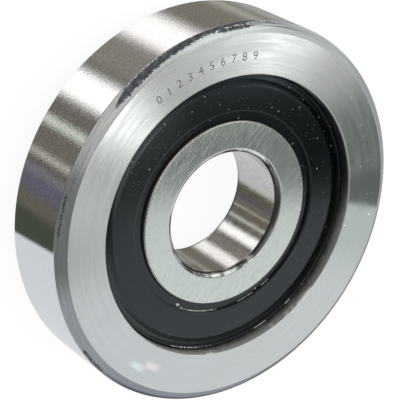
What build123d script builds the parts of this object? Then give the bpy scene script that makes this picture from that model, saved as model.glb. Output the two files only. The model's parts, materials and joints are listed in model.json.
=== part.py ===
from build123d import *
import os

# Mast roller of a forklift: a sealed ball bearing whose thick outer ring is the wheel itself.
# Sizes are in millimetres. The roller's axis is Z, and the face with the shallow recess is up.
# The origin is the middle of the outer ring's width, on the axis.

# Outer ring, which rolls in the mast's channel
tread_diameter = 125.5
outer_width = 32.0
face_chamfer_radial = 3.25
face_chamfer_axial = 2.45
back_bevel = 6.0
front_recess = 3.5
recess_taper = 0.3
edge_round = 0.35

# Inner ring, which sits on the shaft
bore_diameter = 40.0
bore_corner = 1.8
land_step = 2.4
land_corner = 0.35

# Balls and the grooves that they run in
ball_count = 9
ball_diameter = 15.875
pitch_diameter = 75.6
race_play = 0.06
race_closeness = 0.52
race_depth = 3.0

# Ribbon cage: two pressed halves and the rivets between the pockets
cage_sheet = 1.0
pocket_play = 0.2
cage_side_gap = 2.2
rivet_diameter = 2.4
rivet_play = 0.04
rivet_head_diameter = 4.0
rivet_head_height = 1.1

# Rubber seals, one at each side of the balls
seal_sink = 0.1
seal_web = 1.6
cage_to_seal = 0.66
seal_corner = 0.3
lip_gap = 0.1
lip_width = 2.8
lip_sink = 1.25
lip_thickness = 1.3
lip_under_gap = 0.4
channel_width = 2.5
channel_depth = 0.95
channel_slope = 0.5
bead_width = 0.9
bead_sink = 0.05
bead_gap = 0.08
rim_drop = 0.9
rim_lap = 0.55

# Seal grooves in the outer ring
seat_width = 3.25
groove_depth = 0.75
groove_gap = 0.1

# Levels along the axis, and heights above the balls' plane
front_z = outer_width / 2
ball_radius = ball_diameter / 2
cup_inside = ball_radius + pocket_play
cup_outside = cup_inside + cage_sheet
web_under = cup_outside + cage_to_seal
seal_face = web_under + seal_web
inner_half_width = seal_face + seal_sink
ball_plane_z = front_z - front_recess - inner_half_width
seat_height = web_under - rim_drop
lip_top = seal_face - lip_sink
lip_under = lip_top - lip_thickness
land_floor = lip_under - lip_under_gap
channel_floor = seal_face - channel_depth
bead_top = seal_face - bead_sink
rim_top = channel_floor - groove_gap

# Radii
pitch_radius = pitch_diameter / 2
bore_radius = bore_diameter / 2
tread_radius = tread_diameter / 2
race_radius = race_closeness * ball_diameter
inner_race_bottom = pitch_radius - ball_radius - race_play
outer_race_bottom = pitch_radius + ball_radius + race_play
inner_shoulder = inner_race_bottom + race_depth
outer_shoulder = outer_race_bottom - race_depth
land_radius = inner_shoulder - land_step
recess_radius = outer_shoulder + seat_width
groove_radius = recess_radius + groove_depth
mouth_radius = recess_radius + recess_taper
cage_inside = inner_shoulder + cage_side_gap
cage_outside = outer_shoulder - cage_side_gap
rivet_hole_radius = rivet_diameter / 2 + rivet_play


def section(points):
    """A flat section through the axis: each point is a radius and a height."""
    return make_face(Plane.XZ * Polyline(*points, close=True))


def nearest(face, corners):
    """The corners of a section that lie nearest to the given points."""
    return [face.vertices().sort_by_distance((r, 0, z))[0] for r, z in corners]


def round_corners(face, radius, corners):
    """Rounds those corners of a section."""
    return fillet(nearest(face, corners), radius)


def break_corners(face, size, corners):
    """Takes those corners of a section off with a small flat."""
    return chamfer(nearest(face, corners), size)


def turn(face):
    """Turns a section once round the axis."""
    return revolve(face, Axis.Z)


def side_levels(height):
    """The same height above and below the balls' plane."""
    return ball_plane_z + height, ball_plane_z - height


def outer_ring():
    """Thick wheel rim with a ball groove, a seal groove and a recess at each side."""
    seat_up, seat_down = side_levels(seat_height)
    groove_up, groove_down = side_levels(rim_top + groove_gap)
    back_z = -front_z
    front_edge = (tread_radius - face_chamfer_radial, front_z)
    front_shoulder = (tread_radius, front_z - face_chamfer_axial)
    front_mouth = (mouth_radius, front_z)
    back_edge = (tread_radius - back_bevel, back_z)
    back_shoulder = (tread_radius, back_z + back_bevel)
    back_mouth = (mouth_radius, back_z)
    ring = section([
        front_mouth, front_edge, front_shoulder, back_shoulder, back_edge, back_mouth,
        (recess_radius, groove_down), (groove_radius, groove_down),
        (groove_radius, seat_down), (outer_shoulder, seat_down),
        (outer_shoulder, seat_up), (groove_radius, seat_up),
        (groove_radius, groove_up), (recess_radius, groove_up),
    ])
    ring = round_corners(ring, edge_round, [
        front_mouth, front_edge, front_shoulder, back_shoulder, back_edge, back_mouth])
    race = Plane.XZ * Pos(outer_race_bottom - race_radius, ball_plane_z) * Circle(race_radius)
    return turn(ring - race)


def inner_ring():
    """Ring on the shaft, with a ball groove and a lower land at each side for the seal's lip."""
    face_up, face_down = side_levels(inner_half_width)
    land_up, land_down = side_levels(land_floor)
    ring = section([
        (bore_radius, face_down), (land_radius, face_down),
        (land_radius, land_down), (inner_shoulder, land_down),
        (inner_shoulder, land_up), (land_radius, land_up),
        (land_radius, face_up), (bore_radius, face_up),
    ])
    ring = round_corners(ring, bore_corner, [(bore_radius, face_down), (bore_radius, face_up)])
    ring = break_corners(ring, land_corner, [(land_radius, face_down), (land_radius, face_up)])
    race = Plane.XZ * Pos(inner_race_bottom + race_radius, ball_plane_z) * Circle(race_radius)
    return turn(ring - race)


def seal():
    """Moulded rubber disc over the balls, made about the plane z = 0 and then set in place.

    A rim snaps into the outer ring's groove, a bead and a channel run round inside it,
    and a thinner lip drops beside the inner ring's land."""
    bead_outside = recess_radius - bead_gap
    bead_inside = bead_outside - bead_width
    channel_inside = bead_inside - channel_width
    rim_outside = groove_radius - groove_gap
    lip_inside = land_radius + lip_gap
    lip_outside = lip_inside + lip_width
    face_inner = (lip_outside, seal_face)
    face_outer = (channel_inside, seal_face)
    bead_in = (bead_inside, bead_top)
    bead_out = (bead_outside, bead_top)
    disc = section([
        (lip_inside, lip_top), (lip_outside, lip_top), face_inner, face_outer,
        (channel_inside + channel_slope, channel_floor), (bead_inside, channel_floor),
        bead_in, bead_out, (bead_outside, rim_top), (rim_outside, rim_top),
        (rim_outside, seat_height), (rim_outside - groove_depth - rim_lap, seat_height),
        (channel_inside, seat_height), (channel_inside - rim_drop, web_under),
        (lip_outside + lip_thickness, web_under), (lip_outside, lip_under),
        (lip_inside + lip_thickness / 2, lip_under),
    ])
    disc = break_corners(disc, seal_corner, [face_inner, face_outer, bead_in, bead_out])
    return turn(disc)


def seal_front():
    """The seal at the upper side."""
    return Pos(0, 0, ball_plane_z) * seal()


def seal_rear():
    """The same seal, turned over, at the lower side."""
    return Pos(0, 0, ball_plane_z) * Rot(180, 0, 0) * seal()


def ball(place):
    """One ball on the pitch circle."""
    return place * Sphere(ball_radius)


def cage_half(ball_places, rivet_places):
    """The upper pressed ribbon: a flat band that rises into a round cup over each ball."""
    cups = [place * Sphere(cup_outside) for place in ball_places]
    pockets = [place * Sphere(cup_inside) for place in ball_places]
    holes = [place * Cylinder(rivet_hole_radius, 3 * cage_sheet) for place in rivet_places]
    ring = Circle(cage_outside) - Circle(cage_inside)
    band = Pos(0, 0, ball_plane_z) * extrude(ring, cage_sheet)
    space = Pos(0, 0, ball_plane_z) * extrude(ring, cup_outside + cage_sheet)
    return ((band + cups) & space) - pockets - holes


def rivet(place):
    """Rivet with a head on each half of the cage."""
    head = Cylinder(rivet_head_diameter / 2, rivet_head_height)
    reach = cage_sheet + rivet_head_height / 2
    shank = Cylinder(rivet_diameter / 2, 2 * cage_sheet + rivet_head_height)
    return place * (shank + Pos(0, 0, reach) * head + Pos(0, 0, -reach) * head)


def places_round(first_angle):
    """Places on the pitch circle in the balls' plane, one for each ball."""
    step = 360 / ball_count
    return [
        Rot(0, 0, first_angle + step * i) * Pos(pitch_radius, 0, ball_plane_z)
        for i in range(ball_count)
    ]


def build():
    """Every piece of the roller, by name."""
    ball_places = places_round(0)
    rivet_places = places_round(180 / ball_count)
    upper = cage_half(ball_places, rivet_places)
    pieces = {
        "outer_ring": outer_ring(),
        "inner_ring": inner_ring(),
        "seal_front": seal_front(),
        "seal_rear": seal_rear(),
        "cage_front_half": upper,
        "cage_rear_half": mirror(upper, Plane.XY.offset(ball_plane_z)),
    }
    for number, place in enumerate(ball_places, 1):
        pieces[f"ball_{number}"] = ball(place)
    for number, place in enumerate(rivet_places, 1):
        pieces[f"cage_rivet_{number}"] = rivet(place)
    return pieces


os.makedirs("parts", exist_ok=True)
for name, piece in build().items():
    export_step(piece, f"parts/{name}.step")
print("ball plane at z", round(ball_plane_z, 3), "inner ring width", round(2 * inner_half_width, 3))
print("bore wall length", round(2 * (inner_half_width - bore_corner), 3))
orbit = ball_diameter / pitch_diameter
print("cage turns per outer turn", round((1 + orbit) / 2, 6))
print("ball turns in the cage per outer turn", round((1 - orbit**2) / (2 * orbit), 6))
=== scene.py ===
# %% [markdown]
# A mast roller is a ball bearing whose outer ring is thick enough to be the wheel itself. This
# lesson dresses its fixed model: every ring and seal is turned again as a fine surface, the metal
# gets its ground, faced and pressed finishes, and a small studio is built for it to mirror.
# Bare steel has almost no colour of its own, so half of the work is in what stands round it.

# %% Load the frame
import json
import math

import bmesh
import bpy
import numpy as np
from mathutils import Matrix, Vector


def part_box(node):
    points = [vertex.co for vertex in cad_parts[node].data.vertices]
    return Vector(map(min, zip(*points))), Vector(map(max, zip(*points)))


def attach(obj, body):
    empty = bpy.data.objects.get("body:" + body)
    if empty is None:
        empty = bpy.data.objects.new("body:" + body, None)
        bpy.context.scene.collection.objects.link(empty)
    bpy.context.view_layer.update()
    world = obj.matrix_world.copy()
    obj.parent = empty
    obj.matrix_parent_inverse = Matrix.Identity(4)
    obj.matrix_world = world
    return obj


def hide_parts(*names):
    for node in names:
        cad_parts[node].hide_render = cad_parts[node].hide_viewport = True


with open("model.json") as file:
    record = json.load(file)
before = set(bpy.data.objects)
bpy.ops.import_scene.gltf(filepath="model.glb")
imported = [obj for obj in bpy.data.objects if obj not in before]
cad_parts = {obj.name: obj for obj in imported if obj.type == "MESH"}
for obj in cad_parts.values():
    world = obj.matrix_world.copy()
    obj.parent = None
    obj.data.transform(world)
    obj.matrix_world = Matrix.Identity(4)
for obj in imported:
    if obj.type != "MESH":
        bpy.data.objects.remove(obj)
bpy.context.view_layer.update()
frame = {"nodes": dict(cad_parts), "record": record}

# %% [markdown]
# The sizes come from the frame, so that a surface made here lies where its solid lies. A box gives
# the ends of a ring, the mounts give its bore, and only the small steps between them are named here.
# The lesson counts in millimetres and turns them into metres when a mesh is made.

# %% Sizes of the roller, in millimetres
MM = 0.001


def box_mm(node):
    """Lowest and highest corner of a solid, in millimetres."""
    low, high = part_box(node)
    return np.array(low) / MM, np.array(high) / MM


outer_low, outer_high = box_mm("outer_ring")
inner_low, inner_high = box_mm("inner_ring")
mounts = {mount["name"]: mount for mount in frame["record"]["mounts"]}
FRONT, BACK, TREAD_RADIUS = outer_high[2], outer_low[2], outer_high[0]
INNER_FRONT, INNER_BACK, INNER_SHOULDER = inner_high[2], inner_low[2], inner_high[0]
BORE_RADIUS = mounts["bore"]["dims"]["r_mm"]
BALL_PLANE = (INNER_FRONT + INNER_BACK) / 2
SEAL_RIM = box_mm("seal_front")[1][0]
print("tread radius", round(TREAD_RADIUS, 3), "width", round(FRONT - BACK, 3))

# %% [markdown]
# The camera looks down on the front face from 41 degrees beside the roller's axis. A long lens
# keeps the far rim nearly as large as the near one. The axis's direction on the picture, the face's
# middle and its distance fix the camera completely, so it is worked out from those few numbers.

# %% Camera at the photograph's viewing angle
PICTURE = 400
LENS_PIXELS = 1823.0
SENSOR_MM = 36.0
AXIS_FROM_VIEW = math.radians(41.17)
AXIS_ON_PICTURE = math.radians(30.76)
FACE_PIXEL = np.array([232.65, 217.76])
FACE_DISTANCE = 566.7


def camera_frame():
    """The camera's three directions and its place, in the roller's frame.

    The roller's axis is known in the camera's space: right, down and away. The level direction
    towards the camera is what is left of the line of sight once the axis is taken out of it, and
    it becomes the roller's minus Y. The three rows then turn a camera vector into the roller's frame.
    """
    axis = np.array([
        math.sin(AXIS_FROM_VIEW) * math.cos(AXIS_ON_PICTURE),
        math.sin(AXIS_FROM_VIEW) * math.sin(AXIS_ON_PICTURE),
        -math.cos(AXIS_FROM_VIEW),
    ])
    offset = (FACE_PIXEL - PICTURE / 2) / LENS_PIXELS
    to_face = np.array([offset[0], offset[1], 1.0]) * FACE_DISTANCE
    toward = -to_face / np.linalg.norm(to_face)
    level = toward - (toward @ axis) * axis
    y_row = -level / np.linalg.norm(level)
    turn = np.array([np.cross(y_row, axis), y_row, axis])
    place = turn @ -to_face + np.array([0, 0, FRONT])
    return turn[:, 0], turn[:, 1], turn[:, 2], place


def placed(name, data):
    """A new object in the scene that holds a camera or a mesh."""
    piece = bpy.data.objects.new(name, data)
    bpy.context.scene.collection.objects.link(piece)
    return piece


picture_right, picture_down, away, camera_place = camera_frame()
camera_data = bpy.data.cameras.new("camera")
camera_data.sensor_width = SENSOR_MM
camera_data.lens = LENS_PIXELS * SENSOR_MM / PICTURE
camera_data.clip_start = 0.01
camera_data.clip_end = 20
camera = placed("camera", camera_data)
camera_turn = Matrix(np.column_stack([picture_right, -picture_down, -away]).tolist()).to_4x4()
camera.matrix_world = Matrix.Translation(camera_place * MM) @ camera_turn
bpy.context.scene.camera = camera
bpy.context.scene.view_settings.view_transform = "Standard"
print("camera at", (camera_place * MM).round(4), "lens", round(camera_data.lens, 1))

# %% [markdown]
# Every finish is a small tree of nodes, and these helpers keep each tree to a few lines. A value
# that is another node's output is linked, and a plain number is set on the socket itself. More
# helpers start a material, build a mesh and join several parts into one.

# %% Helpers for node trees, materials and meshes


def give(socket, value):
    """Links an output to a socket, or sets a plain value on it."""
    if isinstance(value, bpy.types.NodeSocket):
        socket.id_data.links.new(value, socket)
    else:
        socket.default_value = value


def add(tree, kind, options=None, **sockets):
    """Adds a shader node, sets its options, and gives its named inputs their values."""
    node = tree.nodes.new("ShaderNode" + kind)
    for name, value in (options or {}).items():
        setattr(node, name, value)
    for name, value in sockets.items():
        give(node.inputs[name.replace("_", " ")], value)
    return node


def calc(operation, *values):
    """One sum on numbers, given in the order of the node's inputs, in the tree of the outputs."""
    trees = [value.id_data for value in values if isinstance(value, bpy.types.NodeSocket)]
    node = add(trees[0], "Math", {"operation": operation})
    for socket, value in zip(node.inputs, values):
        give(socket, value)
    return node.outputs[0]


def times(first, second):
    """The product of two numbers."""
    return calc("MULTIPLY", first, second)


def between(value, low, high, start=0.0, end=1.0, kind="SMOOTHSTEP"):
    """Carries a value from one range to another, with soft ends."""
    node = add(value.id_data, "MapRange", {"interpolation_type": kind}, Value=value, From_Min=low,
               From_Max=high, To_Min=start, To_Max=end)
    return node.outputs["Result"]


def fade(value, start, end):
    """Goes softly from start to end while a value grows from zero to one."""
    return between(value, 0.0, 1.0, start, end)


def blend(amount, first, second):
    """Mixes two colours by an amount."""
    node = add(amount.id_data, "Mix", {"data_type": "RGBA"})
    for index, value in ((0, amount), (6, first), (7, second)):
        give(node.inputs[index], value)
    return node.outputs[2]


def mix_surfaces(amount, first, second):
    """Mixes two surfaces by an amount."""
    node = add(amount.id_data, "MixShader")
    for socket, value in zip(node.inputs, (amount, first, second)):
        give(socket, value)
    return node.outputs[0]


def new_group(name, inputs, outputs):
    """An empty shader group with number inputs and named number outputs, and its two end nodes."""
    tree = bpy.data.node_groups.new(name, "ShaderNodeTree")
    for label, value in inputs.items():
        socket = tree.interface.new_socket(label, in_out="INPUT", socket_type="NodeSocketFloat")
        socket.default_value = value
    for label in outputs:
        tree.interface.new_socket(label, in_out="OUTPUT", socket_type="NodeSocketFloat")
    return tree, tree.nodes.new("NodeGroupInput").outputs, tree.nodes.new("NodeGroupOutput").inputs


def use(tree, group, **sockets):
    """Places a group in a tree, and gives back its only output, or all of them by name."""
    outputs = add(tree, "Group", {"node_tree": group}, **sockets).outputs
    return outputs if len(outputs) > 1 else outputs[0]


def new_material(name, **values):
    """A material with plain values set on its shader, and its tree and shader."""
    material = bpy.data.materials.new(name)
    material.use_nodes = True
    shader = material.node_tree.nodes["Principled BSDF"]
    for label, value in values.items():
        shader.inputs[label.replace("_", " ")].default_value = value
    return material, material.node_tree, shader


def built(name, points, faces, smooth=False):
    """A new object in the scene, made of faces over points in millimetres."""
    mesh = bpy.data.meshes.new(name)
    mesh.from_pydata((np.asarray(points) * MM).tolist(), [], faces)
    mesh.polygons.foreach_set("use_smooth", np.full(len(mesh.polygons), smooth))
    return placed(name, mesh)


def joined(name, parts, material, smooth=False):
    """One new object of several parts, each given by its points and faces."""
    points, faces, count = [], [], 0
    for places, sides in parts:
        points.append(places)
        faces += [[corner + count for corner in side] for side in sides]
        count += len(places)
    piece = built(name, np.concatenate(points), faces, smooth)
    piece.data.materials.append(material)
    return piece


# %% [markdown]
# Places on a turned piece are easiest to name by their radius, their height and their azimuth,
# the angle round the axis. Zero azimuth is the side nearest to the camera, and it grows towards
# plus X. The same window, a soft mask round a middle azimuth, serves the studio and the stains.

# %% Groups for places and windows


def azimuth_of(parts):
    """The azimuth of a vector in degrees, from its three parts."""
    return calc("DEGREES", calc("ARCTAN2", parts[0], times(parts[1], -1.0)))


def polar_group():
    """Radius and height in millimetres and azimuth in degrees, from the piece's own coordinates."""
    tree, _, ends = new_group("place_on_roller", {}, ["Radius", "Azimuth", "Height"])
    parts = add(tree, "SeparateXYZ", Vector=add(tree, "TexCoord").outputs["Object"]).outputs
    squares = [times(parts[i], parts[i]) for i in (0, 1)]
    radius = calc("SQRT", calc("ADD", *squares))
    give(ends["Radius"], calc("DIVIDE", radius, MM))
    give(ends["Azimuth"], azimuth_of(parts))
    give(ends["Height"], calc("DIVIDE", parts[2], MM))
    return tree


def window_group():
    """One inside a stretch of azimuth and zero outside, with soft edges.

    The difference from the middle is wrapped to half a turn each way, made positive, and falls
    smoothly to nothing over the edge's width.
    """
    inputs = {"Azimuth": 0.0, "Centre": 0.0, "Half width": 10.0, "Edge": 5.0}
    tree, given, ends = new_group("azimuth_window", inputs, ["Mask"])
    turn = calc("WRAP", calc("SUBTRACT", given["Azimuth"], given["Centre"]), 180.0, -180.0)
    far = calc("ADD", given["Half width"], given["Edge"])
    inside = between(calc("ABSOLUTE", turn), given["Half width"], far, 1.0, 0.0)
    give(ends["Mask"], inside)
    return tree


POLAR = polar_group()
WINDOW = window_group()
print("groups", [group.name for group in bpy.data.node_groups])

# %% [markdown]
# The studio is what the steel mirrors. The camera looks down, so the upright tread and bore mirror
# what lies below the horizon: two lamp strips, a dim bench, thin bright gaps and a pale wall that
# starts at a sharp edge. The flat faces mirror what is high behind the roller. Each thing is a
# window in azimuth and elevation, painted over the ones before it. Rays from the camera itself
# see plain white.

# %% Studio seen in the steel
STUDIO_STRENGTH = 1.6
LEAN_LEVEL, LEAN_LIMIT = 50.0, 25.0


def studio_window_group():
    """A mask for one thing in the studio: a window in azimuth times a window in elevation.

    Lean slides the azimuth with the elevation, counted from 50 degrees down, so that an edge can
    stand aslant. The slide is held to 25 degrees each way.
    """
    inputs = {
        "Azimuth": 0.0, "Elevation": 0.0, "Centre": 0.0, "Half width": 10.0, "Edge": 5.0,
        "Low": -90.0, "High": -30.0, "Rim": 6.0, "Lean": 0.0,
    }
    tree, given, ends = new_group("studio_window", inputs, ["Mask"])
    slide = times(calc("ADD", given["Elevation"], LEAN_LEVEL), given["Lean"])
    slide = calc("MAXIMUM", calc("MINIMUM", slide, LEAN_LIMIT), -LEAN_LIMIT)
    azimuth = calc("SUBTRACT", given["Azimuth"], slide)
    side = use(tree, WINDOW, Azimuth=azimuth, Centre=given["Centre"], Half_width=given["Half width"],
               Edge=given["Edge"])
    bottom = calc("SUBTRACT", given["Low"], given["Rim"])
    top = calc("ADD", given["High"], given["Rim"])
    above = between(given["Elevation"], bottom, given["Low"])
    below = between(given["Elevation"], given["High"], top, 1.0, 0.0)
    give(ends["Mask"], times(side, times(above, below)))
    return tree


STUDIO_THINGS = [
    # name, centre, half width, edge, low, high, rim, lean, colour
    ("bench", 0, 180, 0.01, -90, -14, 16, 0, (0.190, 0.177, 0.156)),
    ("far_bench", -135, 34, 10, -90, -14, 16, 0, (0.24, 0.225, 0.19)),
    ("far_gap", -131, 2.5, 5, -90, -20, 16, 0, (0.42, 0.44, 0.38)),
    ("left_lamp", -76.5, 6.0, 15, -90, -20, 16, 0, (1.42, 1.40, 1.39)),
    ("front_lamp", -21.5, 4.0, 10, -90, -20, 16, 0, (1.65, 1.65, 1.65)),
    ("middle_glow", -50, 7, 10, -90, -20, 16, 0, (0.29, 0.275, 0.25)),
    ("dark_shelf", 57, 24, 7, -90, -25, 12, 0, (0.072, 0.082, 0.060)),
    ("brown_cloth", 53, 3, 8, -90, -25, 12, 0, (0.150, 0.143, 0.118)),
    ("violet_cloth", 41, 5, 4, -90, -25, 12, 0, (0.150, 0.143, 0.200)),
    ("shelf_gap", 35, 1.2, 3, -90, -25, 12, 0, (0.24, 0.23, 0.25)),
    ("wide_gap", 5.4, 1.7, 1.6, -90, -25, 12, 0, (0.80, 0.85, 0.76)),
    ("thin_gap", 25.8, 0.6, 1.3, -90, -25, 12, 0, (0.80, 0.76, 0.70)),
    ("pale_wall", 129, 55.7, 2.6, -90, -12, 16, -2.4, (0.74, 0.76, 0.79)),
    ("far_side", -160, 14, 7, -90, -20, 16, 0, (0.40, 0.39, 0.37)),
    ("far_wall", 181, 9, 5, -90, -14, 16, 0, (0.27, 0.28, 0.27)),
    ("low_shade", 157, 7, 6, -24, -6, 5, 0, (0.34, 0.35, 0.37)),
    ("low_screen", -20, 75, 15, -22, 26, 8, 0, (0.13, 0.13, 0.12)),
    ("screen_gap", -42, 5, 5, -14, 12, 6, 0, (1.3, 1.3, 1.25)),
    ("dark_flag", 55, 24, 18, 26, 60, 14, 0, (0.165, 0.175, 0.175)),
    ("side_wall", 125, 30, 20, -6, 34, 14, 0, (0.40, 0.43, 0.46)),
    ("ceiling", 180, 24, 16, 30, 62, 12, 0, (0.185, 0.197, 0.193)),
    ("upper_flag", 85, 50, 20, 45, 68, 6, 0, (0.20, 0.21, 0.20)),
    ("left_window", -125, 26, 16, 0, 22, 10, 0, (0.66, 0.68, 0.67)),
    ("behind_low", -158, 16, 9, -27, -5, 6, 0, (0.43, 0.45, 0.455)),
    ("low_glow", 120, 17, 9, 36, 60, 6, 0, (0.70, 0.73, 0.75)),
    ("left_sky", -92, 20, 10, 24, 44, 8, 0, (0.84, 0.88, 0.85)),
    ("roof", 0, 180, 0.01, 76, 90, 6, 0, (1.15, 1.15, 1.13)),
]
WINDOW_NUMBERS = ("Centre", "Half width", "Edge", "Low", "High", "Rim", "Lean")
ROOM = (0.58, 0.58, 0.57)


def build_studio():
    """The world: the studio for every ray that leaves the roller, and white for the camera."""
    world = bpy.data.worlds.new("studio")
    bpy.context.scene.world = world
    world.use_nodes = True
    tree = world.node_tree
    tree.nodes.clear()
    group = studio_window_group()
    parts = add(tree, "SeparateXYZ", Vector=add(tree, "TexCoord").outputs["Generated"]).outputs
    azimuth = azimuth_of(parts)
    elevation = calc("DEGREES", calc("ARCSINE", parts[2]))
    colour = (*[level / STUDIO_STRENGTH for level in ROOM], 1)
    for name, *numbers, paint in STUDIO_THINGS:
        window = {label: float(number) for label, number in zip(WINDOW_NUMBERS, numbers)}
        mask = use(tree, group, Azimuth=azimuth, Elevation=elevation, **window)
        mask.node.label = name
        colour = blend(mask, colour, (*[level / STUDIO_STRENGTH for level in paint], 1))
    mirrored = add(tree, "Background", Color=colour, Strength=STUDIO_STRENGTH).outputs[0]
    seen = add(tree, "Background", Color=(1, 1, 1, 1), Strength=1.0).outputs[0]
    direct = add(tree, "LightPath").outputs["Is Camera Ray"]
    add(tree, "OutputWorld", Surface=mix_surfaces(direct, mirrored, seen))


build_studio()
print("things in the studio", len(STUDIO_THINGS))

# %% [markdown]
# A far studio can't show an edge that crosses the flat faces, because they all mirror nearly the
# same bit of it. Soft cards that stand close can. Each is placed by following the camera's view
# after the front face has mirrored it, so its corners are named by the pixels where they appear.

# %% Soft cards over the faces
CARD_BEYOND, CARD_STEP, CARD_STRIPS = 230.0, 4.0, 24
COOL_CARD = (0.955, 0.995, 1.02, 1)
NEUTRAL_CARD = (0.99, 1.01, 0.985, 1)


def mirrored_place(pixel, beyond):
    """Where the view through a pixel arrives after the front face mirrors it and it goes on.

    The mirrored camera stands as far under the face as the real one stands above it, and looks up.
    """
    under = camera_place * [1, 1, -1] + [0, 0, 2 * FRONT]
    step = (np.array(pixel) - PICTURE / 2) / LENS_PIXELS
    way = (away + step[0] * picture_right + step[1] * picture_down) * [1, 1, -1]
    return under + (FACE_DISTANCE + beyond) * way


def soft_card(name, pixels, colour, strength, feather, beyond):
    """A flat glowing card with its corners at some mirrored pixels. The camera doesn't see it.

    A feathered card has four corners, two on the near side and then two on the far side. Its glow
    fades towards its left and right edges, over the feather's share of its width: the card is a
    fan of strips, and each strip keeps its share of the width as an attribute of its points.
    """
    corners = np.array([mirrored_place(pixel, beyond) for pixel in pixels])
    points, faces = corners, [tuple(range(len(corners)))]
    share = np.linspace(0, 1, CARD_STRIPS + 1)
    if feather:
        near_side = corners[0] + share[:, None] * (corners[1] - corners[0])
        far_side = corners[3] + share[:, None] * (corners[2] - corners[3])
        points = np.concatenate([near_side, far_side])
        index, across = np.arange(CARD_STRIPS), CARD_STRIPS + 1
        faces = np.column_stack([index, index + 1, index + across + 1, index + across]).tolist()
    card = built(name, points, faces)
    card.visible_camera = False
    card.visible_shadow = False
    material, tree, _ = new_material(name)
    tree.nodes.clear()
    surface = add(tree, "Emission", Color=colour, Strength=strength).outputs[0]
    if feather:
        shares = card.data.attributes.new("share", "FLOAT", "POINT").data
        shares.foreach_set("value", np.tile(share, 2))
        place = add(tree, "Attribute", {"attribute_name": "share"}).outputs["Fac"]
        rise = between(place, 0.0, feather)
        fall = between(place, 1.0 - feather, 1.0, 1.0, 0.0)
        clear = add(tree, "BsdfTransparent").outputs[0]
        surface = mix_surfaces(times(rise, fall), clear, surface)
    add(tree, "OutputMaterial", Surface=surface)
    card.data.materials.append(material)


SOFT_CARDS = [
    # name, the pixels where its corners are mirrored, colour, strength, feather; the nearest is first
    ("lower_card", [(152, 202), (345, 202), (640, 250), (640, 820), (-320, 820), (-320, 560)],
     COOL_CARD, 0.80, 0),
    ("left_card", [(168, 107), (124, 161), (-58, 91), (31, -38)], NEUTRAL_CARD, 3.0, 0.45),
    ("top_card", [(175, 93), (295, 78), (450, -84), (308, -116)], NEUTRAL_CARD, 2.15, 0.4),
    ("rim_card", [(92, 118), (74, 262), (-90, 262), (-90, 60)], NEUTRAL_CARD, 0.8, 0.3),
    ("upper_card", [(30, -60), (230, -110), (440, -70), (460, -330), (-40, -330)], NEUTRAL_CARD, 1.1, 0),
    ("back_card", [(140, 120), (345, 104), (700, -60), (0, -90)], NEUTRAL_CARD, 0.56, 0.1),
]
for index, card in enumerate(SOFT_CARDS):
    soft_card(*card, CARD_BEYOND + CARD_STEP * index)
print("soft cards", [card[0] for card in SOFT_CARDS])

# %% [markdown]
# The floor is a plain pale sheet that the roller lies on. It shines a little by itself, so that it
# stays nearly white under the roller and in the bore, and it is kept out of mirror reflections,
# where the studio stands in for what lies round a real bench. From below it is clear, so that the
# back of the roller can be looked at.

# %% Floor
FLOOR_HALF, FLOOR_GAP = 3000.0, 0.05


def build_floor():
    """A square sheet just under the roller's back face."""
    sides = ((-1, -1), (1, -1), (1, 1), (-1, 1))
    corners = [(x * FLOOR_HALF, y * FLOOR_HALF, BACK - FLOOR_GAP) for x, y in sides]
    floor = built("floor", corners, [(0, 1, 2, 3)])
    floor.visible_glossy = False
    material, tree, shader = new_material(
        "pale_floor", Base_Color=(0.22, 0.22, 0.22, 1), Roughness=0.9, Specular_IOR_Level=0.0,
        Emission_Color=(1, 1, 1, 1), Emission_Strength=0.9)
    under = add(tree, "NewGeometry").outputs["Backfacing"]
    clear = add(tree, "BsdfTransparent").outputs[0]
    surface = mix_surfaces(under, shader.outputs[0], clear)
    give(tree.nodes["Material Output"].inputs["Surface"], surface)
    floor.data.materials.append(material)


build_floor()

# %% [markdown]
# Every ring and seal is a section carried once round the axis. A lathe would do it with a Spin, and
# a Screw modifier could too, but a surface worked out as one array has two gains: each corner is a
# true small arc, and each point gets the exact normal of its section, so wide flats stay flat and
# narrow edges catch a clean line of light. A little wobble can be added along the normal, and the
# normals then follow its slope.

# %% Turned surfaces


def rounded(corners, step=14.0):
    """A closed section with its corners rounded: points and outward normals, in millimetres.

    Each corner is a radius, a height and a rounding. A rounded corner becomes an arc that leaves
    one side and meets the other tangentially, one point for each few degrees of turn, and its
    normals point away from the arc's centre, or towards it in a hollow corner. A corner with no
    rounding is a single point with the mean normal of its two sides.
    """
    places = np.array([corner[:2] for corner in corners], float)
    area = np.sum(places[:, 0] * np.roll(places[:, 1], -1) - np.roll(places[:, 0], -1) * places[:, 1])
    order = corners if area > 0 else corners[::-1]
    points, normals = [], []
    for before, here, after in zip(order[-1:] + order[:-1], order, order[1:] + order[:1]):
        at = np.array(here[:2], float)
        arrive = at - np.array(before[:2], float)
        leave = np.array(after[:2], float) - at
        arrive, leave = arrive / np.linalg.norm(arrive), leave / np.linalg.norm(leave)
        turn = math.atan2(arrive[0] * leave[1] - arrive[1] * leave[0], arrive @ leave)
        first = math.atan2(-arrive[0], arrive[1])
        pieces = max(1, math.ceil(abs(math.degrees(turn)) / step)) if here[2] else 1
        angles = first + turn * (np.arange(pieces + 1) / pieces if here[2] else np.array([0.5]))
        out = np.column_stack([np.cos(angles), np.sin(angles)])
        back = here[2] * math.tan(abs(turn) / 2)
        side = math.copysign(1, turn)
        centre = at - arrive * back - side * here[2] * np.array([arrive[1], -arrive[0]])
        points.append(centre + side * here[2] * out if here[2] else at[None])
        normals.append(out)
    return np.concatenate(points), np.concatenate(normals)


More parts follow.
